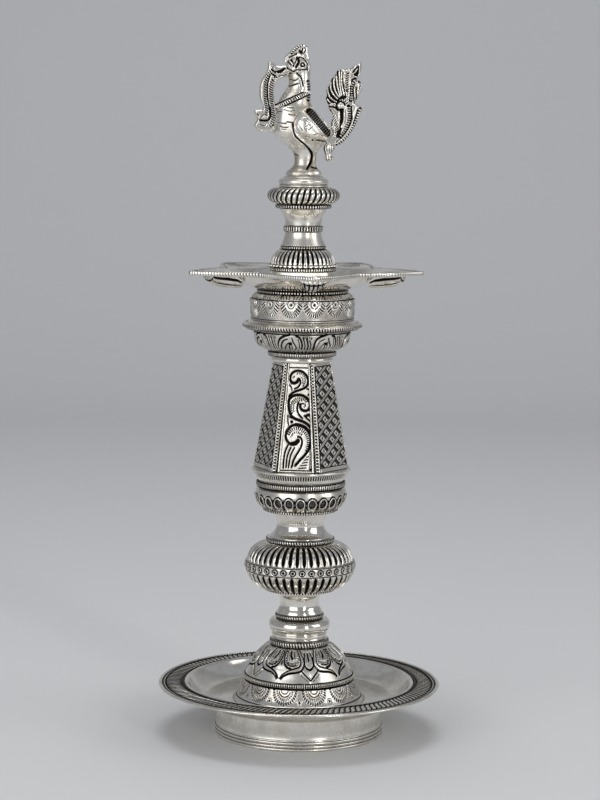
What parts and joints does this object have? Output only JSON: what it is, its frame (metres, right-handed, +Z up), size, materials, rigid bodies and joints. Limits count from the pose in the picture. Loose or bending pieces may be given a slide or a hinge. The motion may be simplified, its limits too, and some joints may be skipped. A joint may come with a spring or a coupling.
{
  "type": "standing oil lamp",
  "caption": "Silver standing oil lamp: drip plate on a ring foot, turned and six-sided pillar, star-shaped oil dish with wick spouts, and a swan finial; its sections unscrew.",
  "frame": {"origin": "middle of the foot ring's resting face, on the floor", "axes": "+Z up along the lamp's axis; -X is the way the swan looks; -Y is the side in the picture"},
  "size_m": [0.1622, 0.1622, 0.3942],
  "materials": {
    "silver": "polished silver, blackened in the chased recesses",
    "brass": "turned brass",
    "steel": "plain steel nut"
  },
  "bodies": {
    "base": {"foot_ring": "silver", "drip_plate": "silver", "lotus_dome": "silver", "knop_rope_ring": "silver", "base_knop": "silver", "neck_rope_ring": "silver", "lower_neck": "silver", "neck_bush": "brass", "tie_rod": "brass", "tie_nut": "steel"},
    "base_screw": {"base_screw": "brass"},
    "bulb": {"bulb_bush": "brass", "bulb_lower": "silver", "bulb_girdle": "silver", "bulb_upper": "silver", "bulb_bead_collar": "silver", "mid_neck": "silver", "mid_neck_bush": "brass"},
    "bulb_screw": {"bulb_screw": "brass"},
    "pillar": {"cup_rope_ring": "silver", "cup_bush": "brass", "petal_cup": "silver", "cup_rope_collar": "silver", "pillar_moulding": "silver", "pillar": "silver", "pillar_ring": "silver", "pillar_bead_ring": "silver", "leaf_cup": "silver", "rope_flange": "silver", "drum": "silver", "drum_bush": "brass"},
    "drum_screw": {"drum_screw": "brass"},
    "dish": {"dish_bead_ring": "silver", "oil_dish": "silver", "spout_leaf_1": "silver", "spout_leaf_2": "silver", "spout_leaf_3": "silver", "spout_leaf_4": "silver", "spout_leaf_5": "silver", "dish_bush": "brass"},
    "stem_screw": {"stem_screw": "brass"},
    "finial": {"stem_foot": "silver", "stem_dome": "silver", "stem_rope_ring": "silver", "stem_lower_neck": "silver", "stem_band": "silver", "stem_upper_neck": "silver", "stem_core": "brass", "stem_bead_collar": "silver", "twisted_collar": "silver", "swan_plinth": "silver", "swan_body": "silver", "swan_crest": "silver", "swan_garland": "silver", "swan_necklace": "silver", "swan_wing_left": "silver", "swan_wing_right": "silver", "swan_tail": "silver", "swan_tassel": "silver"}
  },
  "joints": [
    {"name": "bulb_turn", "type": "hinge", "parent": "base", "child": "base_screw", "pos_m": [0, 0, 0.08415], "axis": [0, 0, 1], "range_deg": [0, 1873]},
    {"name": "bulb_rise", "type": "slide", "parent": "base_screw", "child": "bulb", "axis": [0, 0, 1], "range_m": [0, 0.0065]},
    {"name": "pillar_turn", "type": "hinge", "parent": "bulb", "child": "bulb_screw", "pos_m": [0, 0, 0.12945], "axis": [0, 0, 1], "range_deg": [0, 1873]},
    {"name": "pillar_rise", "type": "slide", "parent": "bulb_screw", "child": "pillar", "axis": [0, 0, 1], "range_m": [0, 0.0065]},
    {"name": "dish_turn", "type": "hinge", "parent": "pillar", "child": "drum_screw", "pos_m": [0, 0, 0.25455], "axis": [0, 0, 1], "range_deg": [0, 1873]},
    {"name": "dish_rise", "type": "slide", "parent": "drum_screw", "child": "dish", "axis": [0, 0, 1], "range_m": [0, 0.0065]},
    {"name": "finial_turn", "type": "hinge", "parent": "dish", "child": "stem_screw", "pos_m": [0, 0, 0.27335], "axis": [0, 0, 1], "range_deg": [0, 1873]},
    {"name": "finial_rise", "type": "slide", "parent": "stem_screw", "child": "finial", "axis": [0, 0, 1], "range_m": [0, 0.0065]}
  ],
  "couplings": [
    {"joint": "bulb_turn", "follows": "bulb_rise", "rad_per_m": 5026.5},
    {"joint": "pillar_turn", "follows": "pillar_rise", "rad_per_m": 5026.5},
    {"joint": "dish_turn", "follows": "dish_rise", "rad_per_m": 5026.5},
    {"joint": "finial_turn", "follows": "finial_rise", "rad_per_m": 5026.5}
  ]
}
